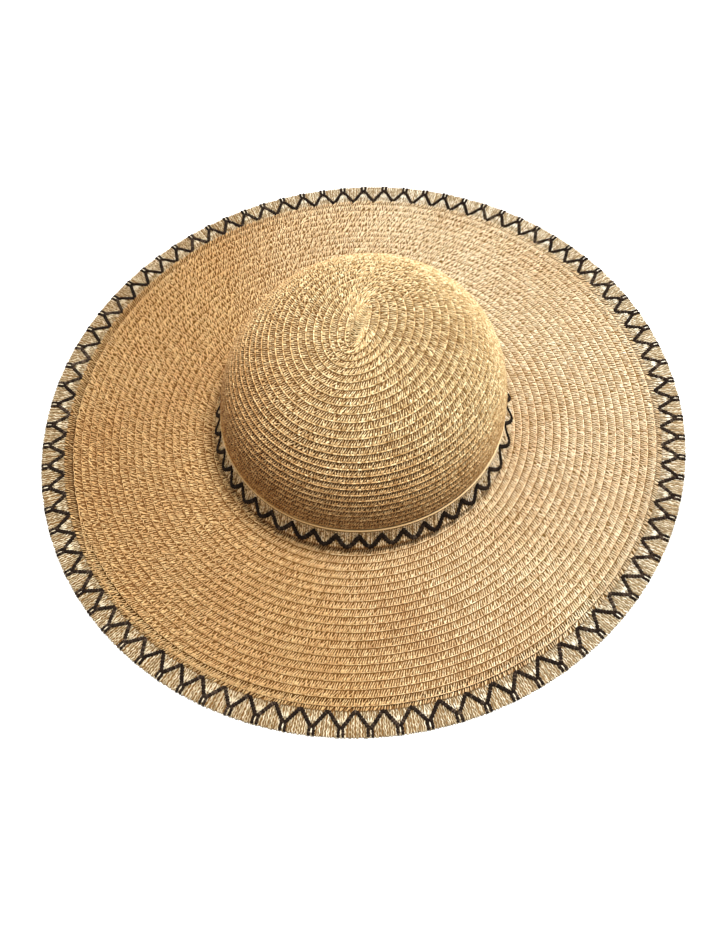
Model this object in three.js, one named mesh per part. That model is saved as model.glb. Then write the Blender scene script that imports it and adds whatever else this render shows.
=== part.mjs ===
// Wide-brim straw sun hat: a domed crown and a flat brim, both wound from one narrow
// straw braid, a knitted trim round the brim's edge and a band of the same tape round
// the crown. Millimetres, +Z up, resting on the underside of its trim.
import * as THREE from 'three';

// Driving dimensions
const BRIM_RADIUS = 210;
const BRAID_WIDTH = 5;        // width of braid that each turn leaves showing
const BRAID_STEP = 0.5;       // how far each turn's outer edge stands over the next one
const STRAW = 1.8;            // wall thickness of the sewn braid
const GAP = 0.3;              // clearance between pieces that are sewn together

const TRIM_SHOWN = 17;        // width of trim that shows outside the last turn of braid
const TRIM_TUCK = 4;          // width of trim that lies under that turn
const TRIM_TUCK_THICKNESS = 1;
const BRIM_LIFT = 0.5;        // height of the brim's underside over the trim's

const HEAD_RADIUS = 90;       // outside of the crown just above its band
const BAND_TOP = 24;
const BAND_THICKNESS = 1.5;
const CORD_RADIUS = 0.9;
const COVE_RADIUS = 7;        // round corner where the brim turns up to the crown
const COVE_RISE = 9.3;

// The crown's wall behind the band, drawn in a little and then flaring to the cove
const WALL_BEHIND_BAND = [
  { over: -0.6, z: BAND_TOP + CORD_RADIUS },     // over: how far outside HEAD_RADIUS
  { over: -0.6, z: 17.7 },
  { over: 0.7, z: 13.4 },
  { over: 2.3, z: 10.6 },
  { over: 2.8, z: COVE_RISE + GAP },
];
const BAND_FOOT = { over: 3.6, z: 8.6 };

const CROWN_HEIGHT = 104.4;
const SIDE_POWER = 3.6;       // how straight the crown's side stands before it rounds over
const TOP_POWER = 2.0;        // how flat the top is
const CROWN_TURNS = 28;
const START_LENGTH = 29;      // the braid's folded start, at the top of the crown
const START_WIDTH = 5.4;
const START_RAISE = 1.0;
const START_TURN = THREE.MathUtils.degToRad(65);
const START_SHIFT = { x: -3.8, y: 3.1 };       // how far off the crown's centre it lies

const CROWN_OFFSET = 1.1;     // the soft crown sits this far to the right
const CROWN_LEAN = 0.088;     // and leans over by this much for each millimetre of height

const BRIM_SIDES = 48;
const CROWN_SIDES = 36;
const CORD_SIDES = 6;
const LINING_STEPS = 10;      // facets down the inside of the dome
const COVE_STEPS = 4;
const DOME_STEPS = 400;       // points of the dome's outline that lengths are measured on

// Sizes that follow from them
const brimUnder = BRIM_LIFT;
const brimTop = BRIM_LIFT + STRAW;
const trimInner = BRIM_RADIUS - TRIM_SHOWN;
const wallFoot = WALL_BEHIND_BAND[WALL_BEHIND_BAND.length - 1];
const coveCentre = HEAD_RADIUS + wallFoot.over + COVE_RADIUS;
const domeFoot = BAND_TOP + CORD_RADIUS + GAP;

// Sideways shift of the crown, its band and the brim's cove at a given height
function crownShift(z) {
  return CROWN_OFFSET + CROWN_LEAN * z;
}

// Moves each vertex of a turned shape sideways by shift(radius, z)
function lean(geometry, shift) {
  const position = geometry.attributes.position;
  for (let i = 0; i < position.count; i += 1) {
    const radius = Math.hypot(position.getX(i), position.getY(i));
    position.setX(i, position.getX(i) + shift(radius, position.getZ(i)));
  }
  return geometry;
}

// A ring turned round +Z from a closed section of [radius, z] points,
// listed outer side upwards and inner side downwards
function turnedRing(section, sides) {
  const points = [...section, section[0]].map(([radius, z]) => new THREE.Vector2(radius, z));
  return new THREE.LatheGeometry(points, sides).rotateX(Math.PI / 2);
}

function part(name, geometry, color, roughness) {
  const material = new THREE.MeshStandardMaterial({ color, roughness, metalness: 0 });
  const mesh = new THREE.Mesh(geometry, material);
  mesh.name = name;
  return mesh;
}

// Height of the dome at a radius
function domeHeight(radius) {
  const inward = Math.max(0, 1 - (radius / HEAD_RADIUS) ** SIDE_POWER);
  return domeFoot + (CROWN_HEIGHT - domeFoot) * inward ** (1 / TOP_POWER);
}

// The dome's outline, from the top down to the band, with its length along the curve
function domeOutline() {
  const outline = [];
  let arc = 0;
  for (let i = 0; i <= DOME_STEPS; i += 1) {
    const turn = (Math.PI / 2) * (1 - i / DOME_STEPS);
    const radius = i === 0 ? 0 : HEAD_RADIUS * Math.cos(turn) ** (2 / SIDE_POWER);
    const z = domeHeight(radius);
    if (i > 0) {
      arc += Math.hypot(radius - outline[i - 1].radius, z - outline[i - 1].z);
    }
    outline.push({ arc, radius, z });
  }
  return outline;
}

const dome = domeOutline();
const domeLength = dome[dome.length - 1].arc;

// The point of the dome's outline at a length from the top, moved out by lift
function onDome(arc, lift) {
  let i = 1;
  while (i < dome.length - 1 && dome[i].arc < arc) {
    i += 1;
  }
  const before = dome[i - 1];
  const after = dome[i];
  const share = THREE.MathUtils.clamp((arc - before.arc) / (after.arc - before.arc), 0, 1);
  const slope = new THREE.Vector2(after.radius - before.radius, after.z - before.z).normalize();
  return {
    radius: THREE.MathUtils.lerp(before.radius, after.radius, share) - lift * slope.y,
    z: THREE.MathUtils.lerp(before.z, after.z, share) + lift * slope.x,
  };
}

// The turns near the top are ovals round the braid's folded start, which lies off centre.
// This gives the point, in a given direction, of the turn that is arc away across the start.
function onTurn(arc, direction, lift) {
  const share = Math.max(0, (arc - START_WIDTH / 2) / (domeLength - START_WIDTH / 2));
  const along = THREE.MathUtils.lerp(START_LENGTH / 2, domeLength, share);
  const turned = direction - START_TURN;
  const ovalArc = arc === 0 ? 0 : 1 / Math.hypot(Math.cos(turned) / along, Math.sin(turned) / arc);
  const { radius, z } = onDome(ovalArc, lift);
  const reach = arc === 0 ? 0 : radius;
  const x = reach * Math.cos(direction) + START_SHIFT.x * (1 - share) ** 2;
  const y = reach * Math.sin(direction) + START_SHIFT.y * (1 - share) ** 2;
  return new THREE.Vector3(x, y, z + domeHeight(Math.hypot(x, y)) - domeHeight(reach));
}

// Crown: the inside from the top down, the foot, the plain wall behind the band, then the
// turns of braid from the band up to the folded start
function crownSection() {
  const section = [];
  const startArc = START_WIDTH / 2;
  const turnLength = (domeLength - startArc) / CROWN_TURNS;
  for (let i = 0; i <= LINING_STEPS; i += 1) {
    section.push({ arc: (domeLength * i) / LINING_STEPS, lift: -STRAW });
  }
  for (const { over, z } of WALL_BEHIND_BAND.slice(1)) {
    section.push({ radius: HEAD_RADIUS + over - STRAW, z });
  }
  for (const { over, z } of [...WALL_BEHIND_BAND].reverse()) {
    section.push({ radius: HEAD_RADIUS + over, z });
  }
  for (let turn = CROWN_TURNS; turn > 0; turn -= 1) {
    const edge = startArc + turnLength * turn;
    section.push({ arc: edge, lift: BRAID_STEP });
    section.push({ arc: edge - turnLength, lift: 0 });
  }
  section.push({ arc: startArc, lift: START_RAISE });
  section.push({ arc: 0, lift: START_RAISE });
  return section;
}

function crownGeometry() {
  const section = crownSection();
  const points = section.map((entry) => {
    const { radius, z } = entry.arc === undefined ? entry : onDome(entry.arc, entry.lift);
    return new THREE.Vector2(entry.arc === 0 ? 0 : radius, z);
  });
  const geometry = new THREE.LatheGeometry(points, CROWN_SIDES).rotateX(Math.PI / 2);
  const position = geometry.attributes.position;
  for (let i = 0; i < position.count; i += 1) {
    const entry = section[i % section.length];
    if (entry.arc !== undefined) {
      const side = Math.floor(i / section.length);
      const direction = (2 * Math.PI * side) / CROWN_SIDES - Math.PI / 2;
      position.setXYZ(i, ...onTurn(entry.arc, direction, entry.lift));
    }
  }
  return lean(geometry, (radius, z) => crownShift(z));
}

// Brim: one step for each turn of braid, a cove up to the crown, and a rebate under the
// last turn where the trim is sewn on
function brimGeometry() {
  const section = [];
  const turns = Math.floor((trimInner - coveCentre) / BRAID_WIDTH);
  const braid = (trimInner - coveCentre) / turns;
  const lap = TRIM_TUCK + GAP;
  const lapRise = TRIM_TUCK_THICKNESS + GAP - BRIM_LIFT;
  const lapTop = (radius) => (
    lapRise * THREE.MathUtils.smoothstep(radius, trimInner - 2 * lap, trimInner - lap)
  );
  for (let turn = 0; turn < turns; turn += 1) {
    const edge = trimInner - braid * turn;
    section.push([edge, brimTop + BRAID_STEP + lapTop(edge)]);
    section.push([edge - braid, brimTop + lapTop(edge - braid)]);
  }
  for (let i = 1; i <= COVE_STEPS; i += 1) {
    const turn = ((Math.PI / 2) * i) / COVE_STEPS;
    section.push([coveCentre - COVE_RADIUS * Math.sin(turn), COVE_RISE - COVE_RADIUS * Math.cos(turn)]);
  }
  for (let i = COVE_STEPS; i >= 0; i -= 1) {
    const turn = ((Math.PI / 2) * i) / COVE_STEPS;
    const reach = COVE_RADIUS + STRAW;
    section.push([coveCentre - reach * Math.sin(turn), COVE_RISE - reach * Math.cos(turn)]);
  }
  section.push([trimInner - 2 * lap, brimUnder]);
  section.push([trimInner - lap, brimUnder + lapRise]);
  section.push([trimInner, brimUnder + lapRise]);
  const geometry = turnedRing(section, BRIM_SIDES);
  const reachOfLean = coveCentre + 2 * BRAID_WIDTH;
  return lean(geometry, (radius, z) => (
    crownShift(z) * (1 - THREE.MathUtils.smoothstep(radius, coveCentre - COVE_RADIUS, reachOfLean))
  ));
}

// Trim: flat tape, its inner edge under the brim and its outer edge rounded
function trimGeometry() {
  const edge = STRAW / 2;
  return turnedRing([
    [trimInner - TRIM_TUCK, 0],
    [BRIM_RADIUS - edge, 0],
    [BRIM_RADIUS, edge],
    [BRIM_RADIUS - edge, STRAW],
    [trimInner + GAP, STRAW],
    [trimInner + GAP, TRIM_TUCK_THICKNESS],
    [trimInner - TRIM_TUCK, TRIM_TUCK_THICKNESS],
  ], BRIM_SIDES);
}

// Band: the same tape round the foot of the crown, flaring out on to the cove
function bandGeometry() {
  const behind = [
    BAND_FOOT,
    ...WALL_BEHIND_BAND.slice(1, -1).reverse(),
    { over: WALL_BEHIND_BAND[0].over, z: BAND_TOP - CORD_RADIUS - GAP },
  ];
  const inside = behind.map(({ over, z }) => [HEAD_RADIUS + over + GAP, z]);
  const outside = inside.map(([radius, z]) => [radius + BAND_THICKNESS, z]);
  inside.reverse();
  return lean(turnedRing([...outside, ...inside], CROWN_SIDES), (radius, z) => crownShift(z));
}

// Cord: the smooth piping along the band's upper edge
function cordGeometry() {
  const centre = HEAD_RADIUS + WALL_BEHIND_BAND[0].over + GAP + CORD_RADIUS;
  const section = [];
  for (let i = 0; i < CORD_SIDES; i += 1) {
    const turn = (2 * Math.PI * (i + 0.5)) / CORD_SIDES;
    section.push([centre + CORD_RADIUS * Math.cos(turn), BAND_TOP + CORD_RADIUS * Math.sin(turn)]);
  }
  return lean(turnedRing(section, CROWN_SIDES), (radius, z) => crownShift(z));
}

const hat = new THREE.Group();
hat.add(part('crown', crownGeometry(), 0xc9a06a, 0.72));
hat.add(part('brim', brimGeometry(), 0xd9b27c, 0.72));
hat.add(part('edge_trim', trimGeometry(), 0xe3cba3, 0.8));
hat.add(part('hat_band', bandGeometry(), 0xddc498, 0.8));
hat.add(part('band_cord', cordGeometry(), 0xeccf9c, 0.6));

export default hat;
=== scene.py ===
"""A wide-brim straw sun hat, its crown and brim wound from one narrow knitted braid, with a
knitted trim round the brim and a band of the same tape round the crown."""
import math

import bmesh
import bpy
import numpy as np
from mathutils import Matrix, Vector


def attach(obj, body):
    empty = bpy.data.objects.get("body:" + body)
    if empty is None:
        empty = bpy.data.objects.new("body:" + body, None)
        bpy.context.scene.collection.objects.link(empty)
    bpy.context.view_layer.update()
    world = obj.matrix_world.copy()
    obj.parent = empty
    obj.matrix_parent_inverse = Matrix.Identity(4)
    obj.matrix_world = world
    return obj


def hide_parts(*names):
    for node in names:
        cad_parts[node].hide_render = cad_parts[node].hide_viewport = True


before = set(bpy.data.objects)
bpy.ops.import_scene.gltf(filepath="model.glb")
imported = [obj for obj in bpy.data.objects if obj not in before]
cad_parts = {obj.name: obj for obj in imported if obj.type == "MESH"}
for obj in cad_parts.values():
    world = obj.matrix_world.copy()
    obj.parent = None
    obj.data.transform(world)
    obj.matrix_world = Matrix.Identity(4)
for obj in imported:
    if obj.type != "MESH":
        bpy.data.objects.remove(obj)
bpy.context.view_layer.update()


# Camera and light. The photograph looks down on the hat at about 59 degrees, turned a
# little, in even studio light on white paper with its brighter side at the right.
MM = 0.001
CAMERA_AIM = Vector((-2.358, -29.649, 0)) * MM
CAMERA_DISTANCE = 745.5 * MM
CAMERA_ELEVATION = math.radians(59.472)
CAMERA_TURN = math.radians(-6.285)
CAMERA_LENS = 44.9

camera = bpy.data.objects.new("camera", bpy.data.cameras.new("camera"))
camera.data.sensor_fit = "VERTICAL"
camera.data.sensor_height = 36
camera.data.lens = CAMERA_LENS
camera.data.clip_start = 0.01
tilt = Matrix.Rotation(math.pi / 2 - CAMERA_ELEVATION, 4, "X")
back = Vector((0, -math.cos(CAMERA_ELEVATION), math.sin(CAMERA_ELEVATION)))
place = Matrix.Translation(CAMERA_AIM + CAMERA_DISTANCE * back)
camera.matrix_world = place @ tilt @ Matrix.Rotation(CAMERA_TURN, 4, "Z")
bpy.context.scene.collection.objects.link(camera)
bpy.context.scene.camera = camera


def area_light(name, position, aim, size, power, colour):
    """A round lamp, its places and size in metres and its power in watts."""
    lamp = bpy.data.lights.new(name, "AREA")
    lamp.shape = "DISK"
    lamp.size = size
    lamp.energy = power
    lamp.color = colour
    light = bpy.data.objects.new(name, lamp)
    light.location = position
    light.rotation_euler = (Vector(aim) - Vector(position)).to_track_quat("-Z", "Y").to_euler()
    bpy.context.scene.collection.objects.link(light)


# A soft key light high on the right, a wide fill overhead, and an even white room.
area_light("key", (0.26, 0.02, 1.06), (0.02, 0, 0.03), 0.35, 23.2, (1.0, 0.99, 0.97))
area_light("top", (0.1, 0.13, 1.25), (0, 0, 0.03), 0.6, 6, (1.0, 0.98, 0.94))

world = bpy.data.worlds.new("studio")
world.use_nodes = True
world.node_tree.nodes["Background"].inputs["Color"].default_value = (1, 1, 1, 1)
world.node_tree.nodes["Background"].inputs["Strength"].default_value = 0.54
bpy.context.scene.world = world
bpy.context.scene.view_settings.view_transform = "Standard"


def linear(hex_colour):
    """A colour given as sRGB hex, as linear values with alpha."""
    channels = [int(hex_colour[i:i + 2], 16) / 255 for i in (1, 3, 5)]
    return [c / 12.92 if c <= 0.04045 else ((c + 0.055) / 1.055) ** 2.4 for c in channels] + [1]


def plain_material(name, colour, roughness):
    material = bpy.data.materials.new(name)
    material.use_nodes = True
    shader = material.node_tree.nodes["Principled BSDF"]
    shader.inputs["Base Color"].default_value = linear(colour)
    shader.inputs["Roughness"].default_value = roughness
    return material


bm = bmesh.new()
bmesh.ops.create_grid(bm, x_segments=1, y_segments=1, size=4)
floor_mesh = bpy.data.meshes.new("floor")
bm.to_mesh(floor_mesh)
bm.free()
floor = bpy.data.objects.new("floor", floor_mesh)
# Matt white paper, which this light takes to pure white.
floor_mesh.materials.append(plain_material("white_paper", "#fbfbfb", 0.9))
bpy.context.scene.collection.objects.link(floor)


# Crown. The braid starts as a folded ridge at the top and winds outwards over a hollow
# dome that leans a little. Each turn has a raised smooth edge over the next turn's loops.
HEAD_RADIUS = 90.0
CROWN_HEIGHT = 104.4
DOME_FOOT = 25.2
SIDE_POWER = 3.6
TOP_POWER = 2.0
CROWN_TURNS = 28
CROWN_OFFSET = 1.1
CROWN_LEAN = 0.088
STRAW = 1.8
START_LENGTH = 29.0
START_WIDTH = 5.4
START_TURN = math.radians(65)
START_SHIFT = (-3.8, 3.1)
CROWN_STITCH = 1.5
random = np.random.default_rng(7)

steepness = np.linspace(math.pi / 2, 0, 601)
dome_radius = HEAD_RADIUS * np.cos(steepness) ** (2 / SIDE_POWER)
dome_radius[0] = 0
dome_z = DOME_FOOT + (CROWN_HEIGHT - DOME_FOOT) * np.sin(steepness) ** (2 / TOP_POWER)
dome_arc = np.concatenate([[0], np.cumsum(np.hypot(np.diff(dome_radius), np.diff(dome_z)))])
dome_length = dome_arc[-1]
slope_length = np.hypot(np.gradient(dome_radius), np.gradient(dome_z))
dome_slope_r = np.gradient(dome_radius) / slope_length
dome_slope_z = np.gradient(dome_z) / slope_length


def crown_shift(z):
    return CROWN_OFFSET + CROWN_LEAN * z


def on_dome(x, y, lift):
    """Points and normals of the crown, x and y measured along its surface from the top, in mm."""
    arc = np.hypot(x, y)
    direction = np.arctan2(y, x)
    out = np.interp(arc, dome_arc, -dome_slope_z)
    up = np.interp(arc, dome_arc, dome_slope_r)
    radius = np.interp(arc, dome_arc, dome_radius) + lift * out
    z = np.interp(arc, dome_arc, dome_z) + lift * up
    point = np.stack([radius * np.cos(direction) + crown_shift(z), radius * np.sin(direction), z], -1)
    normal = np.stack([out * np.cos(direction), out * np.sin(direction), up + 0 * direction], -1)
    return point, normal


def on_crown(across, direction, lift):
    """The same for a place on a turn of braid: across is its distance from the folded start."""
    share = np.clip((across - START_WIDTH / 2) / (dome_length - START_WIDTH / 2), 0, None)
    along = START_LENGTH / 2 + (dome_length - START_LENGTH / 2) * share
    turned = direction - START_TURN
    arc = 1 / np.hypot(np.cos(turned) / along, np.sin(turned) / np.maximum(across, 0.01))
    fade = np.clip(1 - share, 0, 1) ** 2
    return on_dome(arc * np.cos(direction) + START_SHIFT[0] * fade,
                   arc * np.sin(direction) + START_SHIFT[1] * fade, lift)


def strand_mesh(name, points, normals, widths, heights, sides, tones, ring=False):
    """Closed strands, one for each row of points in mm, flattened along their normals, with
    the attribute strand: the length so far in mm, the place round it, and the tone."""
    count, stations, _ = points.shape
    widths = np.broadcast_to(widths, (count, stations))
    heights = np.broadcast_to(heights, (count, stations))
    tones = np.broadcast_to(np.clip(tones, 0, 1), (count, stations))
    if ring:
        tangents = np.roll(points, -1, 1) - np.roll(points, 1, 1)
    else:
        tangents = np.gradient(points, axis=1)
    tangents = tangents / np.linalg.norm(tangents, axis=2, keepdims=True)
    side = np.cross(tangents, normals)
    side = side / np.linalg.norm(side, axis=2, keepdims=True)
    up = np.cross(side, tangents)
    steps = np.linalg.norm(np.diff(points, axis=1), axis=2)
    along = np.concatenate([np.zeros((count, 1)), np.cumsum(steps, axis=1)], 1)
    if ring:
        rings = slice(0, stations)
        ring_count = stations
    else:
        rings = slice(1, stations - 1)
        ring_count = stations - 2
    angles = 2 * math.pi * (np.arange(sides) + (0.75 if sides == 3 else 0.5)) / sides
    spread = (side[:, rings, None] * (widths[:, rings, None] / 2 * np.cos(angles))[..., None]
              + up[:, rings, None] * (heights[:, rings, None] / 2 * np.sin(angles))[..., None])
    body = (points[:, rings, None] + spread).reshape(-1, 3)
    index = np.arange(count * ring_count * sides).reshape(count, ring_count, sides)
    if ring:
        here, there = index, np.roll(index, -1, 1)
    else:
        here, there = index[:, :-1], index[:, 1:]
    quads = np.stack([here, there, np.roll(there, -1, 2), np.roll(here, -1, 2)], -1).reshape(-1, 4)
    body_strand = np.stack([
        np.repeat(along[:, rings, None], sides, 2),
        np.broadcast_to(np.arange(sides) / sides, (count, ring_count, sides)),
        np.repeat(tones[:, rings, None], sides, 2),
    ], -1).reshape(-1, 3)
    if ring:
        verts, strand = body, body_strand
        loops = quads.ravel()
        starts = 4 * np.arange(len(quads))
    else:
        first = len(body) + np.arange(count)
        last = first + count
        verts = np.concatenate([body, points[:, 0], points[:, -1]])
        tips = [np.stack([along[:, end], 0 * along[:, end], tones[:, end]], -1) for end in (0, -1)]
        strand = np.concatenate([body_strand, *tips])
        opening, closing = index[:, 0], index[:, -1]
        first, last = (np.repeat(tip[:, None], sides, 1) for tip in (first, last))
        fan_start = np.stack([first, opening, np.roll(opening, -1, 1)], -1)
        fan_end = np.stack([last, np.roll(closing, -1, 1), closing], -1)
        fans = np.concatenate([fan_start.reshape(-1, 3), fan_end.reshape(-1, 3)])
        loops = np.concatenate([quads.ravel(), fans.ravel()])
        starts = np.concatenate([4 * np.arange(len(quads)), 4 * len(quads) + 3 * np.arange(len(fans))])
    mesh = bpy.data.meshes.new(name)
    mesh.vertices.add(len(verts))
    mesh.vertices.foreach_set("co", (verts * MM).astype(np.float32).ravel())
    mesh.loops.add(len(loops))
    mesh.loops.foreach_set("vertex_index", loops.astype(np.int32))
    mesh.polygons.add(len(starts))
    mesh.polygons.foreach_set("loop_start", starts.astype(np.int32))
    mesh.polygons.foreach_set("use_smooth", np.ones(len(starts), bool))
    mesh.update(calc_edges=True)
    mesh.attributes.new("strand", "FLOAT_VECTOR", "POINT").data.foreach_set(
        "vector", strand.astype(np.float32).ravel())
    return mesh


def add_piece(mesh, materials, slot, *nodes):
    """Links a mesh as a piece of the hat that stands for those CAD nodes."""
    piece = bpy.data.objects.new(mesh.name, mesh)
    for material in materials:
        mesh.materials.append(material)
    bpy.context.scene.collection.objects.link(piece)
    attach(piece, "root")
    if nodes:
        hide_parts(*nodes)
    return piece


def turned_mesh(name, profile, steps, shift, inside):
    """A closed outline of (radius, z) in mm turned round the vertical, then shifted in x.
    Faces that inside(centre, normal) picks get the second material."""
    bm = bmesh.new()
    verts = [bm.verts.new((radius, 0, z)) for radius, z in profile]
    on_axis = profile[0][0] == 0
    edges = [bm.edges.new(pair) for pair in zip(verts, verts[1:])]
    if not on_axis:
        edges.append(bm.edges.new((verts[-1], verts[0])))
    bmesh.ops.spin(bm, geom=verts + edges, axis=(0, 0, 1), cent=(0, 0, 0), steps=steps,
                   angle=2 * math.pi, use_merge=True)
    bmesh.ops.remove_doubles(bm, verts=bm.verts, dist=0.001)
    bmesh.ops.recalc_face_normals(bm, faces=bm.faces)
    for face in bm.faces:
        face.smooth = True
        face.material_index = int(inside(face.calc_center_median(), face.normal))
    for vert in bm.verts:
        vert.co.x += shift(math.hypot(vert.co.x, vert.co.y), vert.co.z)
        vert.co *= MM
    mesh = bpy.data.meshes.new(name)
    bm.to_mesh(mesh)
    bm.free()
    return mesh


def add_node(tree, kind, settings, links):
    """Adds a shader node with its settings, and its inputs, by name or number, as values or
    as links."""
    node = tree.nodes.new(kind)
    for name, value in settings.items():
        setattr(node, name, value)
    for name, value in links.items():
        if isinstance(value, bpy.types.NodeSocket):
            tree.links.new(value, node.inputs[name])
        else:
            node.inputs[name].default_value = value
    return node


def colour_ramp(tree, factor, *stops):
    """A colour ramp through (position, hex) stops."""
    ramp = add_node(tree, "ShaderNodeValToRGB", {}, {"Fac": factor})
    while len(ramp.color_ramp.elements) < len(stops):
        ramp.color_ramp.elements.new(0.5)
    for element, (position, colour) in zip(ramp.color_ramp.elements, stops):
        element.position = position
        element.color = linear(colour)
    return ramp.outputs["Color"]


def straw_material(name, dark, middle, light, patch, roughness, gloss=0.18, shade_tint="#e6cfad",
                   light_rise=0.0, span=(-0.06, 0.08)):
    """Twisted paper straw: each strand has its own tone, fibres twist along it, and the sheet
    shows slow patches where its dyeing is warmer, about 70 mm across. Painted light: it is
    painted paler towards the back right, or upwards too as on the crown, and warmer on the far
    side as painted shade. Satin, so its tops catch the light. The fibres' specks are 0.8 mm long: real
    ones are too fine to show."""
    material = bpy.data.materials.new(name)
    material.use_nodes = True
    tree = material.node_tree
    shader = tree.nodes["Principled BSDF"]
    strand = add_node(tree, "ShaderNodeAttribute", {"attribute_name": "strand"}, {})
    parts = add_node(tree, "ShaderNodeSeparateXYZ", {}, {"Vector": strand.outputs["Vector"]})
    length, around, own_tone = (parts.outputs[axis] for axis in "XYZ")
    place = add_node(tree, "ShaderNodeTexCoord", {}, {}).outputs["Object"]
    blotch = add_node(tree, "ShaderNodeTexNoise", {}, {
        "Vector": place, "Scale": 14.0, "Detail": 3.0, "Roughness": 0.55})
    speck = add_node(tree, "ShaderNodeTexNoise", {}, {"Vector": place, "Scale": 1300.0, "Detail": 2.0})
    tone = add_node(tree, "ShaderNodeMath", {"operation": "MULTIPLY_ADD"}, {
        0: speck.outputs["Fac"], 1: 0.9, 2: own_tone})
    tone_less = add_node(tree, "ShaderNodeMath", {"operation": "SUBTRACT"}, {
        0: tone.outputs[0], 1: 0.45})
    base = colour_ramp(tree, tone_less.outputs[0], (0.0, dark), (0.5, middle), (1.0, light))
    patchy = add_node(tree, "ShaderNodeMapRange", {}, {
        "Value": blotch.outputs["Fac"], "From Min": 0.42, "From Max": 0.68, "To Max": 0.3})
    multiply = {"data_type": "RGBA", "blend_type": "MULTIPLY"}
    mixed = add_node(tree, "ShaderNodeMix", multiply, {
        "Factor": patchy.outputs["Result"], 6: base, 7: linear(patch)})
    # Painted light and shade: the colour runs from a warmer tint on the side away from the light to
    # white towards it.
    towards = add_node(tree, "ShaderNodeVectorMath", {"operation": "DOT_PRODUCT"}, {
        0: place, 1: (1 - 0.6 * light_rise, 0.2 - 0.2 * light_rise, light_rise)})
    painted_light_share = add_node(tree, "ShaderNodeMapRange", {}, {
        "Value": towards.outputs["Value"], "From Min": span[0], "From Max": span[1]})
    painted_light_tint = add_node(tree, "ShaderNodeMix", {"data_type": "RGBA"}, {
        "Factor": painted_light_share.outputs["Result"], 6: linear(shade_tint), 7: linear("#ffffff")})
    with_painted_light = add_node(tree, "ShaderNodeMix", multiply, {
        "Factor": 1.0, 6: mixed.outputs[2], 7: painted_light_tint.outputs[2]})
    tree.links.new(with_painted_light.outputs[2], shader.inputs["Base Color"])
    twist = add_node(tree, "ShaderNodeMath", {"operation": "MULTIPLY_ADD"}, {
        0: length, 1: 9.0, 2: around})
    fibres = add_node(tree, "ShaderNodeMath", {"operation": "SINE"}, {0: twist.outputs[0]})
    height = add_node(tree, "ShaderNodeMath", {"operation": "MULTIPLY_ADD"}, {
        0: speck.outputs["Fac"], 1: 1.6, 2: fibres.outputs[0]})
    bump = add_node(tree, "ShaderNodeBump", {}, {
        "Height": height.outputs[0], "Strength": 0.35, "Distance": 0.12 * MM})
    tree.links.new(bump.outputs["Normal"], shader.inputs["Normal"])
    shader.inputs["Roughness"].default_value = roughness
    shader.inputs["Specular IOR Level"].default_value = gloss
    return material


def under_material(name, dark, middle, light):
    """The braid seen from its back: rows of loops of 1.6 mm as colour and bump, a row for
    each 5 mm across, with dark holes between the loops. Matt, like bare paper."""
    material = bpy.data.materials.new(name)
    material.use_nodes = True
    tree = material.node_tree
    shader = tree.nodes["Principled BSDF"]
    place = add_node(tree, "ShaderNodeTexCoord", {}, {}).outputs["Object"]
    loops = add_node(tree, "ShaderNodeTexVoronoi", {}, {"Vector": place, "Scale": 620.0})
    rows = add_node(tree, "ShaderNodeTexWave", {"wave_type": "RINGS", "rings_direction": "SPHERICAL"}, {
        "Vector": place, "Scale": 10.0 * 2 * math.pi, "Distortion": 0.6, "Detail": 1.0})
    relief = add_node(tree, "ShaderNodeMath", {"operation": "MULTIPLY_ADD"}, {
        0: loops.outputs["Distance"], 1: -0.9, 2: rows.outputs["Fac"]})
    base = colour_ramp(tree, relief.outputs[0], (0.0, dark), (0.35, middle), (1.0, light))
    tree.links.new(base, shader.inputs["Base Color"])
    bump = add_node(tree, "ShaderNodeBump", {}, {
        "Height": relief.outputs[0], "Strength": 0.6, "Distance": 0.6 * MM})
    tree.links.new(bump.outputs["Normal"], shader.inputs["Normal"])
    shader.inputs["Roughness"].default_value = 0.7
    return material


def smoothstep(value, low, high):
    share = np.clip((value - low) / (high - low), 0, 1)
    return share * share * (3 - 2 * share)


def even_turns(turns, points, pitch):
    """The turns at which a line through points has gone on by pitch each time."""
    length = np.concatenate([[0], np.cumsum(np.linalg.norm(np.diff(points, axis=0), axis=1))])
    count = int(length[-1] / pitch)
    return np.interp(np.arange(count) * length[-1] / count, length, turns)


def crispness(direction, dull, low, high):
    """How far the rows stand out, 0 to 1: towards the dull direction, in degrees, the braid's
    edge is pressed flat among the loops."""
    return smoothstep(-np.cos(direction - math.radians(dull)), low, high)


def braid_loops(name, surface, across, direction, row, reach, slant, spread, form, tones):
    """A strand for each stitch. row is the braid's width towards its inner side, slant the
    stitch's lean in degrees, form a table of share of the row, lift and width, and spread
    scales the widths."""
    count = len(across)
    lean = np.tan(np.radians(slant))
    row, reach, lean = (np.reshape(values, (-1, 1)) for values in (row, reach, lean))
    share, lift, width = np.array(form).T
    share = share + random.uniform(-0.04, 0.04, (count, 1))
    sideways = lean * np.abs(row) * (0.5 - share)
    lift = lift + 0.07 * random.standard_normal((count, 1))
    points, normals = surface(across[:, None] + row * (1 - share),
                              direction[:, None] + sideways / reach, lift)
    widths = width * (spread[:, None] + 0.16 * random.standard_normal((count, 1)))
    return strand_mesh(name, points, normals, widths, 0.8, 3, tones[:, None])


# Dark brown straw painted as the shade that shows between the loops, and pale straw for the
# loops themselves, in a yellower lot on the crown than on the brim.
shade = straw_material("shaded_straw", "#553c1c", "#6e5029", "#866639", "#c9a06a", 0.8)
underside = under_material("straw_back", "#8a6236", "#c79d65", "#e3c18b")
# The crown's gradient is painted shade: warmer and deeper low on the crown and at its left, away from
# the key light.
straw_crown = straw_material("crown_straw", "#735326", "#b5996c", "#ded0a8", "#dcbd8c", 0.6,
                             shade_tint="#f6bd70", light_rise=1.0, span=(-0.03, 0.1))

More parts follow.
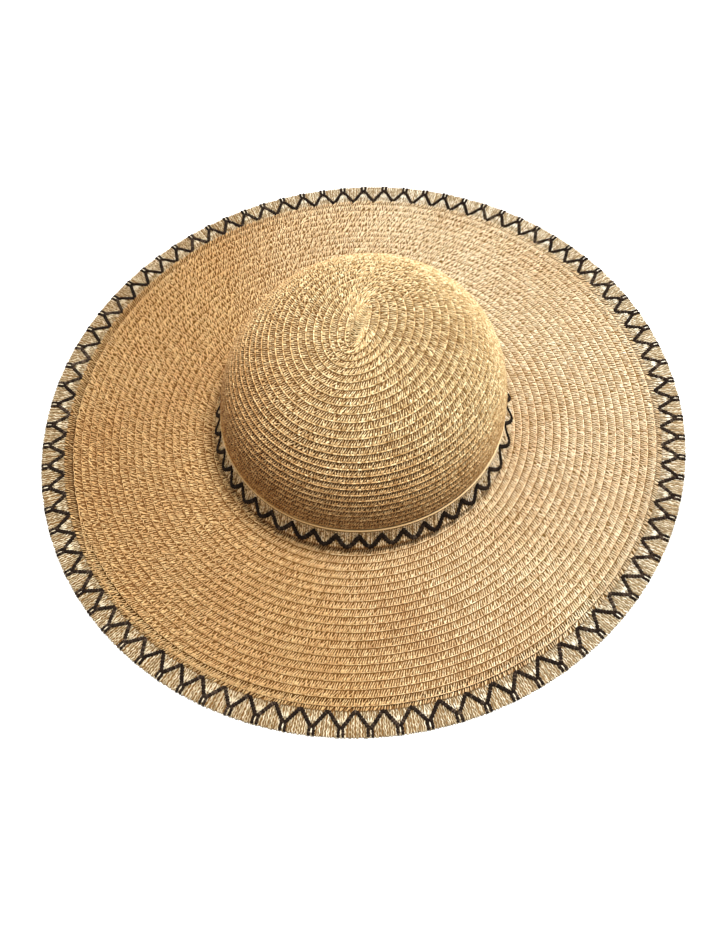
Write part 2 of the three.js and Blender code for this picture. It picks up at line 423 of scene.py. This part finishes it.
dome_outside = [(float(np.interp(a, dome_arc, dome_radius)), float(np.interp(a, dome_arc, dome_z)))
                for a in np.linspace(0, dome_length, 60)]
dome_inside = []
for a in np.linspace(0, dome_length, 40):
    radius = np.interp(a, dome_arc, dome_radius) + STRAW * np.interp(a, dome_arc, dome_slope_z)
    z = np.interp(a, dome_arc, dome_z) - STRAW * np.interp(a, dome_arc, dome_slope_r)
    dome_inside.append((float(max(radius, 0)), float(z)))
dome_inside[0] = (0, dome_inside[0][1])
wall_foot = [(89.4, 24.9), (89.4, 17.7), (90.7, 13.4), (92.3, 10.6), (92.8, 9.6)]
crown_profile = dome_outside + wall_foot
crown_profile += [(r - STRAW, z) for r, z in reversed(wall_foot)][:-1] + dome_inside[::-1]
crown_shell = turned_mesh("crown_shell", crown_profile, 96, lambda radius, z: crown_shift(z),
                          lambda centre, normal: normal.dot(Vector((centre.x, centre.y, 12))) < 0)
add_piece(crown_shell, [shade, underside], "crown_straw", "crown")

crown_pitch = (dome_length - START_WIDTH / 2) / CROWN_TURNS


def crown_turn(turn):
    """How far a place on the winding is from the start, and in what direction."""
    return START_WIDTH / 2 + crown_pitch * turn, START_TURN + math.pi / 2 - 2 * math.pi * turn


def crown_crispness(across, direction):
    """The rows stand out all round near the top, and everywhere but at the back below it."""
    return np.clip(np.maximum(crispness(direction, 100, -0.9, -0.1), 1.4 - across / 32), 0, 1)


fine_turns = np.linspace(0, CROWN_TURNS, 40000)
fine_across, fine_direction = crown_turn(fine_turns)
fine_points, _ = on_crown(fine_across, fine_direction, 0.0)
stitch_turns = even_turns(fine_turns, fine_points, CROWN_STITCH)
stitches = len(stitch_turns)

cord_turns = even_turns(fine_turns, fine_points, CROWN_STITCH / 2)
across, direction = crown_turn(cord_turns)
crisp = crown_crispness(across, direction)
dull = 1 - crisp
across = across + 0.35 * dull * random.standard_normal(len(crisp))
lift = 0.35 + 0.15 * crisp + 0.07 * random.standard_normal(len(crisp))
cord_points, cord_normals = on_crown(across, direction, lift)
lumps = (1 + (0.4 - 0.28 * crisp) * np.cos(math.pi * np.arange(len(crisp)))
         + 0.06 * random.standard_normal(len(crisp)))
crown_cord = strand_mesh("crown_edge_cord", cord_points[None], cord_normals[None],
                         1.35 * lumps[None], 0.8 * lumps[None], 3,
                         0.42 + 0.3 * random.standard_normal((1, len(lumps))))
add_piece(crown_cord, [straw_crown], "crown_straw")

across, direction = crown_turn(stitch_turns)
reach = np.maximum(np.interp(across, dome_arc, dome_radius), 8)
row = -np.minimum(crown_pitch, across - 0.2)
dull = 1 - crown_crispness(across, direction)
slant = 20 + (9 + 5 * dull) * random.standard_normal(stitches)
spread = 0.96 - 0.08 * dull
across = across + 0.35 * dull * random.standard_normal(stitches)
crown_strokes = braid_loops("crown_loops", on_crown, across, direction, row, reach, slant, spread,
                            [(0.44, 0.05, 0), (0.58, 0.35, 1.25), (0.86, 0.42, 1.35), (1.04, 0.42, 0)],
                            0.6 + 0.14 * random.standard_normal(stitches))
add_piece(crown_strokes, [straw_crown], "crown_straw")
direction = direction + (0.2 + 0.15 * dull) * random.standard_normal(stitches) / reach
crown_inner = braid_loops("crown_inner_loops", on_crown, across, direction, row, reach, slant, spread,
                          [(0.04, -0.3, 0), (0.2, 0.0, 0.66), (0.46, 0.3, 0.84), (0.66, 0.3, 0)],
                          0.58 + 0.16 * random.standard_normal(stitches))
add_piece(crown_inner, [straw_crown], "crown_straw")

# The stitches over the folded start, on both sides of its ridge.
start_steps = np.arange(-START_LENGTH / 2 + 1, START_LENGTH / 2 - 0.5, 1.45)
sides = np.repeat([-1.0, 1.0], len(start_steps))[:, None]
outwards = sides * np.array([-1.4, 0.3, 2.3, 3.4])
onwards = np.tile(start_steps, 2)[:, None] + np.array([-0.8, -0.3, 0.5, 0.9]) + 0.3 * sides
onwards = onwards + 0.25 * random.standard_normal((len(sides), 1))
x = START_SHIFT[0] + onwards * math.cos(START_TURN) - outwards * math.sin(START_TURN)
y = START_SHIFT[1] + onwards * math.sin(START_TURN) + outwards * math.cos(START_TURN)
points, normals = on_dome(x, y, np.array([0.8, 0.95, 0.85, 0.3]))
start_strokes = strand_mesh("crown_start", points, normals, np.array([0, 1.0, 1.1, 0]), 0.8, 3,
                            0.58 + 0.15 * random.standard_normal((len(sides), 1)))
add_piece(start_strokes, [straw_crown], "crown_straw")


# Brim. The same braid, wound outwards flat; its last turn lies over the trim's inner edge
# and ends by tapering away. At the crown it turns up in a small round cove.
BRIM_RADIUS = 210.0
TRIM_INNER = 193.0
BRIM_TOP = 2.3
BRIM_UNDER = 0.5
LAP_RISE = 0.4
LAP = 4.3
COVE_CENTRE = 99.8
COVE_RADIUS = 7.0
COVE_RISE = 9.3
BRIM_ROW = 5.02
BRIM_END = math.radians(190)
BRIM_END_TAPER = 0.05
BRIM_STITCH = 1.5
BRIM_CORD_STEP = 0.85
BRIM_DULL = (135, -0.5, 0.6)
flat_width = TRIM_INNER - COVE_CENTRE
cove_width = COVE_RADIUS * math.pi / 2


def brim_shift(radius, z):
    """The brim's inner edge moves over with the crown that leans, and its flat stays."""
    return crown_shift(z) * (1 - smoothstep(radius, COVE_CENTRE - COVE_RADIUS, COVE_CENTRE + 10))


def on_brim(across, direction, lift):
    """Points and normals of the brim, across measured inwards from the trim, in mm."""
    turn = np.clip((across - flat_width) / COVE_RADIUS, 0, math.pi / 2)
    radius = np.where(across < flat_width, TRIM_INNER - across,
                      COVE_CENTRE - COVE_RADIUS * np.sin(turn))
    flat_z = BRIM_TOP + LAP_RISE * smoothstep(radius, TRIM_INNER - 2 * LAP, TRIM_INNER - LAP)
    z = np.where(across < flat_width, flat_z, COVE_RISE - COVE_RADIUS * np.cos(turn))
    shift = brim_shift(radius, z)
    radius = radius + lift * np.sin(turn)
    z = z + lift * np.cos(turn)
    point = np.stack([radius * np.cos(direction) + shift, radius * np.sin(direction), z], -1)
    normal = np.stack([np.sin(turn) * np.cos(direction), np.sin(turn) * np.sin(direction),
                       np.cos(turn) + 0 * direction], -1)
    return point, normal


# A pinker, paler lot of straw than the crown's, over a darker straw painted as the shade
# between its loops. Both are painted paler towards the light at the right and warmer at the left, away
# from it, as painted shade.
brim_shade = straw_material("shaded_brim_straw", "#644a26", "#7e5e34", "#947044", "#c9a06a", 0.8)
straw_brim = straw_material("brim_straw", "#a58560", "#d6bf9a", "#f2eacf", "#e2c296", 0.6)

brim_profile = [(TRIM_INNER - 2.5, 1.3), (TRIM_INNER - 5.2, 1.4),
                (TRIM_INNER - 5.2, BRIM_TOP + LAP_RISE - 0.1), (TRIM_INNER - 2 * LAP, BRIM_TOP - 0.1),
                (150, BRIM_TOP - 0.1)]
cove_steps = [math.pi / 2 * i / 8 for i in range(9)]
brim_profile += [(COVE_CENTRE - COVE_RADIUS * math.sin(t), COVE_RISE - COVE_RADIUS * math.cos(t))
                 for t in cove_steps]
reach = COVE_RADIUS + STRAW
brim_profile += [(COVE_CENTRE - reach * math.sin(t), COVE_RISE - reach * math.cos(t))
                 for t in reversed(cove_steps)]
brim_profile += [(TRIM_INNER - 2 * LAP, BRIM_UNDER), (TRIM_INNER - 5.2, 1.05), (TRIM_INNER - 2.5, 1.05)]
brim_shell = turned_mesh("brim_shell", brim_profile, 144, brim_shift,
                         lambda centre, normal: normal.z < 0 or (
                             centre.z > 4 and normal.dot(Vector((centre.x, centre.y, 0))) < 0))
add_piece(brim_shell, [brim_shade, underside], "brim_straw", "brim")

brim_turns = (flat_width + 0.9 * cove_width) / BRIM_ROW


def brim_turn(turn):
    """How far a place on the winding is from the trim, and in what direction."""
    taper = 1 - smoothstep(turn, 0, BRIM_END_TAPER)
    return BRIM_ROW * (turn + taper), BRIM_END + 2 * math.pi * turn


fine_turns = np.linspace(0, brim_turns, 60000)
fine_across, fine_direction = brim_turn(fine_turns)
fine_points, _ = on_brim(fine_across, fine_direction, 0.0)

cord_turns = even_turns(fine_turns, fine_points, BRIM_CORD_STEP)
across, direction = brim_turn(cord_turns)
crisp = crispness(direction, *BRIM_DULL)
dull = 1 - crisp
across = across + 0.15 + 0.35 * dull * random.standard_normal(len(crisp))
lift = 0.25 + 0.17 * crisp + 0.06 * random.standard_normal(len(crisp))
cord_points, cord_normals = on_brim(across, direction, lift)
lumps = (1 + (0.45 - 0.25 * crisp) * np.cos(math.pi * np.arange(len(crisp)))
         + 0.12 * random.standard_normal(len(crisp)))
brim_cord = strand_mesh("brim_edge_cord", cord_points[None], cord_normals[None],
                        (0.9 - 0.25 * dull) * lumps[None], 0.78 * lumps[None], 3,
                        0.45 + 0.34 * random.standard_normal((1, len(lumps))))
add_piece(brim_cord, [straw_brim], "brim_straw")

BRIM_OUTER_LOOP = [(0.46, 0.1, 0), (0.6, 0.38, 1.15), (0.86, 0.42, 1.25), (1.03, 0.42, 0)]
BRIM_INNER_LOOP = [(0.04, -0.2, 0), (0.2, 0.05, 0.72), (0.48, 0.3, 0.86), (0.66, 0.3, 0)]
stitch_turns = even_turns(fine_turns, fine_points, BRIM_STITCH)
stitches = len(stitch_turns)
across, direction = brim_turn(stitch_turns)
row = BRIM_ROW * np.maximum(smoothstep(stitch_turns, 0, BRIM_END_TAPER), 0.05)
reach = TRIM_INNER - np.minimum(across, flat_width)
dull = 1 - crispness(direction, *BRIM_DULL)
slant = 22 + (7.5 + 5 * dull) * random.standard_normal(stitches)
spread = 0.99 + 0.06 * dull
across = across + 0.35 * dull * smoothstep(stitch_turns, 0.2, 1) * random.standard_normal(stitches)
brim_strokes = braid_loops("brim_loops", on_brim, across, direction, row, reach, slant, spread,
                           BRIM_OUTER_LOOP,
                           0.6 + (0.14 - 0.04 * dull) * random.standard_normal(stitches))
add_piece(brim_strokes, [straw_brim], "brim_straw")
direction = direction + (0.2 + 0.15 * dull) * random.standard_normal(stitches) / reach
brim_inner = braid_loops("brim_inner_loops", on_brim, across, direction, row, reach, slant, spread,
                         BRIM_INNER_LOOP,
                         0.6 + (0.15 - 0.04 * dull) * random.standard_normal(stitches))
add_piece(brim_inner, [straw_brim], "brim_straw")

# The turn under the last one, closed into a ring, whose loops reach out to the trim's zigzag.
UNDER_TURN = 195.0
UNDER_ROW = 6.4
UNDER_DROP = 0.85
ring_count = int(2 * math.pi * UNDER_TURN / BRIM_STITCH)
direction = 2 * math.pi * np.arange(ring_count) / ring_count
across = np.full(ring_count, TRIM_INNER - UNDER_TURN)
row = np.full(ring_count, UNDER_ROW)
reach = np.full(ring_count, UNDER_TURN)
slant = 22 + 12 * random.standard_normal(ring_count)
spread = np.full(ring_count, 0.8)
for name, form in (("brim_under_loops", BRIM_OUTER_LOOP), ("brim_under_inner_loops", BRIM_INNER_LOOP)):
    under_loops = braid_loops(name, on_brim, across, direction, row, reach, slant, spread,
                              [(share, lift - UNDER_DROP, width) for share, lift, width in form],
                              0.52 + 0.15 * random.standard_normal(ring_count))
    add_piece(under_loops, [straw_brim], "brim_straw")


# Trim. A knitted tape sewn under the brim's last turn: pale threads run straight out to
# small loops at the edge, and a dark yarn zigzags over them, turning round the edge.
TRIM_TUCK = 4.0
TRIM_THREADS = 924
STRAW_EDGE = 194.6
TRIM_REPEATS = 84
TRIM_NODE_RADIUS = 204.5
TRIM_PEAK_RADIUS = 194.9
TRIM_LEG_GAP = 2.5
YARN = 2.5
TRIM_YARN_STEP = 0.55
TRIM_SEWN = [(0, -88.95), (3, -74.65), (6, -60.79), (10, -43.34), (13, -30.86), (17, -14.4),
             (21, 2.02), (24, 14.35), (28, 30.39), (32, 46.16), (35, 58.34), (39, 75.1),
             (42, 87.99), (46, 104.91), (50, 121.16), (53, 133.34), (57, 150.4), (60, 163.8),
             (64, 181.85), (67, 195.43), (70, 208.78), (74, 225.69), (77, 238.69), (81, 257.01),
             (84, 271.05)]

# A pale open knit on a duller ground, and a matt, almost black yarn whose plies show as
# a few greyer flecks.
knit_trim = straw_material("trim_knit", "#85755a", "#bdb095", "#e6e1d2", "#dcc9aa", 0.65,
                           shade_tint="#f8f0e2")
trim_ground = straw_material("trim_ground", "#7d6849", "#9a815b", "#b0966e", "#d0ac80", 0.8)
yarn = straw_material("dark_yarn", "#0e0603", "#1e140c", "#54463a", "#8a7a6a", 0.85, gloss=0.1,
                      shade_tint="#ffffff")

trim_profile = [(TRIM_INNER - TRIM_TUCK, 0.0), (BRIM_RADIUS - 1.1, 0.0), (BRIM_RADIUS - 0.6, 0.6),
                (BRIM_RADIUS - 1.1, 1.2), (STRAW_EDGE, 1.1), (TRIM_INNER - TRIM_TUCK, 1.0)]
trim_base = turned_mesh("trim_base", trim_profile, 168, lambda radius, z: 0,
                        lambda centre, normal: normal.z > 0.5 and (
                            math.hypot(centre.x, centre.y) < STRAW_EDGE))
add_piece(trim_base, [trim_ground, brim_shade], "trim_knit", "edge_trim")

thread_angles = np.arange(TRIM_THREADS) + 0.15 * random.standard_normal(TRIM_THREADS)
thread_angles = 2 * math.pi * thread_angles / TRIM_THREADS
thread_radius = np.concatenate([np.linspace(194.0, 207.6, 12), [209.2, 209.8, 209.2]])
thread_z = np.interp(thread_radius, [194, 197, 203, 207.6, 209.2], [1.425, 1.5, 1.4, 1.4, 1.25])
thread_z[-2:] = [0.8, 0.35]
wave = 0.35 * np.sin(2 * math.pi * (thread_radius / 3.4 + random.uniform(0, 1, (TRIM_THREADS, 1))))
angle = thread_angles[:, None] + wave / BRIM_RADIUS
points = np.stack([thread_radius * np.cos(angle), thread_radius * np.sin(angle),
                   thread_z + 0.08 * random.standard_normal(angle.shape)], -1)
bend = np.interp(np.arange(15), [10, 12, 13, 14], [0, 0.5, 1.3, 2.2])
normals = np.stack([np.sin(bend) * np.cos(angle), np.sin(bend) * np.sin(angle),
                    np.cos(bend) + 0 * angle], -1)
thread_widths = 1.05 + 0.2 * random.standard_normal(angle.shape)
thread_widths[:, [0, -1]] = 0
tones = (0.53 + 0.12 * random.standard_normal((TRIM_THREADS, 1))
         + 0.22 * random.standard_normal(angle.shape))
tones -= 0.8 * (random.random(angle.shape) < 0.12)
trim_threads = strand_mesh("trim_threads", points, normals, np.clip(thread_widths, 0, 1.5), 0.7, 3,
                           tones)
add_piece(trim_threads, [knit_trim], "trim_knit")


def resampled(corners, step):
    """Even points along a line through corners."""
    corners = np.asarray(corners, float)
    length = np.concatenate([[0], np.cumsum(np.linalg.norm(np.diff(corners, axis=0), axis=1))])
    places = np.linspace(0, length[-1], int(length[-1] / step) + 1)
    return np.stack([np.interp(places, length, corners[:, i]) for i in range(corners.shape[1])], -1)


def sewn_direction(repeats, table):
    """The direction of a place counted in repeats: a tape eased on by hand stretches unevenly."""
    counts, degrees = np.array(table).T
    return np.radians(np.interp(repeats % counts[-1], counts, degrees))


# One repeat of the zigzag as (sideways, radius, z): up round the edge, along two legs that
# meet in a peak by the braid, and back down round the edge.
half = math.pi * BRIM_RADIUS / TRIM_REPEATS
leg = TRIM_LEG_GAP / 2
zigzag = resampled([
    (-half + leg, 207.6, 0.35), (-half + leg, 209.0, 0.5), (-half + leg, 209.35, 1.1),
    (-half + leg, 208.6, 1.85),
    (-half + leg, TRIM_NODE_RADIUS + 1.2, 2.0), (-half + 0.7, TRIM_NODE_RADIUS - 0.2, 2.1),
    (-3.9, 199.7, 2.1), (-0.9, TRIM_PEAK_RADIUS + 0.4, 2.1), (0, TRIM_PEAK_RADIUS, 2.1),
    (0.9, TRIM_PEAK_RADIUS + 0.4, 2.1), (3.9, 199.7, 2.1),
    (half - 0.7, TRIM_NODE_RADIUS - 0.2, 2.1), (half - leg, TRIM_NODE_RADIUS + 1.2, 2.0),
    (half - leg, 208.6, 1.85), (half - leg, 209.35, 1.1), (half - leg, 209.0, 0.5),
    (half - leg, 207.6, 0.35),
], TRIM_YARN_STEP)
angle = sewn_direction(np.arange(TRIM_REPEATS)[:, None] + 0.5 + zigzag[:, 0] / (2 * half), TRIM_SEWN)
radius = np.minimum(zigzag[:, 1] + 0.25 * random.standard_normal((TRIM_REPEATS, 1)), 209.4)
points = np.stack([radius * np.cos(angle), radius * np.sin(angle), zigzag[:, 2] + 0 * angle], -1)
turned_down = smoothstep(-zigzag[:, 2], -1.9, -0.4) * 2.0
normals = np.stack([np.sin(turned_down) * np.cos(angle), np.sin(turned_down) * np.sin(angle),
                    np.cos(turned_down) + 0 * angle], -1)
places = np.arange(len(zigzag)) * TRIM_YARN_STEP
bite = 1 + 0.24 * np.sin(2 * math.pi * places[None] / 1.7 + random.uniform(0, 6, (TRIM_REPEATS, 1)))
bite = bite * np.interp(zigzag[:, 1], [TRIM_NODE_RADIUS - 1, TRIM_NODE_RADIUS + 1], [1.0, 0.76])
trim_yarn = strand_mesh("trim_zigzag", points, normals, YARN * bite, 1.25, 6,
                        0.36 + 0.1 * random.standard_normal((TRIM_REPEATS, 1))
                        + 0.24 * random.standard_normal(bite.shape))
add_piece(trim_yarn, [yarn], "trim_knit")

# The small fan of pale stitches that ties each node down, with one stitch the other way.
fan = np.radians(np.array([-38, -24, -10, 10, 24, 38, 180]))
fan_reach = np.array([[1.6, 2.6, 4.4, 5.6]]) + np.array([0, 0.4, 0.8, 0.8, 0.4, 0, -0.8])[:, None]
node_angles = sewn_direction(np.arange(TRIM_REPEATS), TRIM_SEWN)
out = TRIM_NODE_RADIUS - 0.4 - fan_reach * np.cos(fan)[:, None]
across = fan_reach * np.sin(fan)[:, None] + 0.2 * random.standard_normal((TRIM_REPEATS, len(fan), 1))
angle = node_angles[:, None, None] + across / BRIM_RADIUS
points = np.stack([out * np.cos(angle), out * np.sin(angle), 1.95 + 0 * angle], -1).reshape(-1, 4, 3)
fan_stitches = strand_mesh("trim_fan_stitches", points, np.broadcast_to([0.0, 0, 1], points.shape),
                           np.array([0, 0.85, 0.9, 0]), 0.6, 4,
                           0.8 + 0.15 * random.standard_normal((len(points), 1)))
add_piece(fan_stitches, [knit_trim], "trim_knit")


# Band. The same tape the other way up round the crown's foot: its zigzag hangs from nodes
# under a smooth pale cord, and its free edge flares out on to the brim's cove.
BAND_REPEATS = 41
BAND_SEWN = [(0, 201), (3, 227.5), (5, 246), (7, 263.5), (11, 297.5), (14, 324), (17, 357), (41, 561)]
BAND_THREADS = 400
BAND_RADIUS = 91.5
BAND_YARN_STEP = 0.5
band_outline = np.array([(91.2, 22.8), (91.2, 17.7), (92.5, 13.4), (94.1, 10.6), (95.4, 8.6)])
band_length = np.concatenate([[0], np.cumsum(np.linalg.norm(np.diff(band_outline, axis=0), axis=1))])


def on_band(down, direction, lift):
    """Points and normals of the band, down measured from its top edge, in mm. Its free edge
    stands off a little at the sides."""
    down = np.clip(down, 0, band_length[-1])
    before = np.maximum(down - 1, 0)
    after = np.minimum(down + 1, band_length[-1])
    slope_r, slope_z = (np.interp(after, band_length, outline) - np.interp(before, band_length, outline)
                        for outline in band_outline.T)
    size = np.hypot(slope_r, slope_z)
    out, up = -slope_z / size, slope_r / size
    flare = np.where(np.cos(direction) > 0, 2.6, 0.8) * np.cos(direction) ** 2
    radius = np.interp(down, band_length, band_outline[:, 0]) + lift * out + flare * (down / 14) ** 2
    z = np.interp(down, band_length, band_outline[:, 1]) + lift * up + 0 * direction
    point = np.stack([radius * np.cos(direction) + crown_shift(z), radius * np.sin(direction), z], -1)
    normal = np.stack([out * np.cos(direction), out * np.sin(direction), up + 0 * direction], -1)
    return point, normal


# The tape's pale knit again, painted lighter than on the trim to stand for light on the band's
# steep wall, which gets little of it.
band_knit_painted_lighter = straw_material("band_knit", "#86683e", "#f2dfba", "#fff8ea", "#e6d2b0", 0.65,
                           shade_tint="#f4e6d0")
band_profile = [(r - 0.5, z) for r, z in band_outline.tolist()]
band_profile += [(r - 1.5, z) for r, z in band_outline[::-1].tolist()]
band_base = turned_mesh("band_base", band_profile, 120, lambda radius, z: crown_shift(z),
                        lambda centre, normal: False)
add_piece(band_base, [band_knit_painted_lighter], "band_knit", "hat_band")

thread_angles = np.arange(BAND_THREADS) + 0.15 * random.standard_normal(BAND_THREADS)
thread_angles = 2 * math.pi * thread_angles / BAND_THREADS
thread_down = np.linspace(0.2, 14.8, 12)
wave = 0.35 * np.sin(2 * math.pi * (thread_down / 3.2 + random.uniform(0, 1, (BAND_THREADS, 1))))
points, normals = on_band(thread_down, thread_angles[:, None] + wave / 92, -0.25)
thread_widths = 1.15 + 0.2 * random.standard_normal(points.shape[:2])
thread_widths[:, [0, -1]] = 0
band_threads = strand_mesh("band_threads", points, normals, np.clip(thread_widths, 0, 1.6), 0.7, 3,
                           0.55 + 0.12 * random.standard_normal((BAND_THREADS, 1))
                           + 0.2 * random.standard_normal(points.shape[:2])
                           - 0.9 * (random.random(points.shape[:2]) < 0.14))
add_piece(band_threads, [band_knit_painted_lighter], "band_knit")

# One repeat of the band's zigzag as (sideways, down), from node to node.
half = math.pi * BAND_RADIUS / BAND_REPEATS
zigzag = resampled([
    (-half + 0.1, 2.4), (-half + 0.2, 4.7), (-half + 1.1, 6.9), (-4.1, 9.9), (-2.5, 12.0),
    (-1.2, 13.0), (0, 13.3), (1.2, 13.0),
    (2.5, 12.0), (4.1, 9.9), (half - 1.1, 6.9), (half - 0.2, 4.7), (half - 0.1, 2.4),
], BAND_YARN_STEP)
angle = sewn_direction(np.arange(BAND_REPEATS)[:, None] + 0.5 + zigzag[:, 0] / (2 * half), BAND_SEWN)
points, normals = on_band(zigzag[:, 1] + 0.25 * random.standard_normal((BAND_REPEATS, 1)), angle, 0.35)
places = np.arange(len(zigzag)) * BAND_YARN_STEP
bite = 1 + 0.26 * np.sin(2 * math.pi * places[None] / 1.7 + random.uniform(0, 6, (BAND_REPEATS, 1)))
bite = bite * np.interp(zigzag[:, 1], [2.4, 6.5], [0.5, 1.28]) * (1 - 0.2 * np.cos(angle) ** 2)
band_yarn = strand_mesh("band_zigzag", points, normals, YARN * bite, 1.2, 6,
                        0.32 + 0.1 * random.standard_normal((BAND_REPEATS, 1))
                        + 0.2 * random.standard_normal(bite.shape))
add_piece(band_yarn, [yarn], "band_knit")


# Cord. A smooth pale cord along the band's upper edge, wound from glossy thread.
CORD_RADIUS = 0.72
CORD_CENTRE = (90.6, 24.0)
# Tightly wound thread, glossier and paler than the straw, so it reads as one bright line.
cord_straw = straw_material("cord_straw", "#d9b67e", "#f0d5a4", "#fff0cc", "#e0c08c", 0.4)
around = np.linspace(0, 2 * math.pi, 360, endpoint=False)
points = np.stack([CORD_CENTRE[0] * np.cos(around) + crown_shift(CORD_CENTRE[1]),
                   CORD_CENTRE[0] * np.sin(around), CORD_CENTRE[1] + 0 * around], -1)
normals = np.stack([np.cos(around), np.sin(around), 0.3 + 0 * around], -1)
cord_ring = strand_mesh("band_cord_ring", points[None], normals[None], 2 * CORD_RADIUS, 2 * CORD_RADIUS,
                        10, 0.6, ring=True)
add_piece(cord_ring, [cord_straw], "cord", "band_cord")
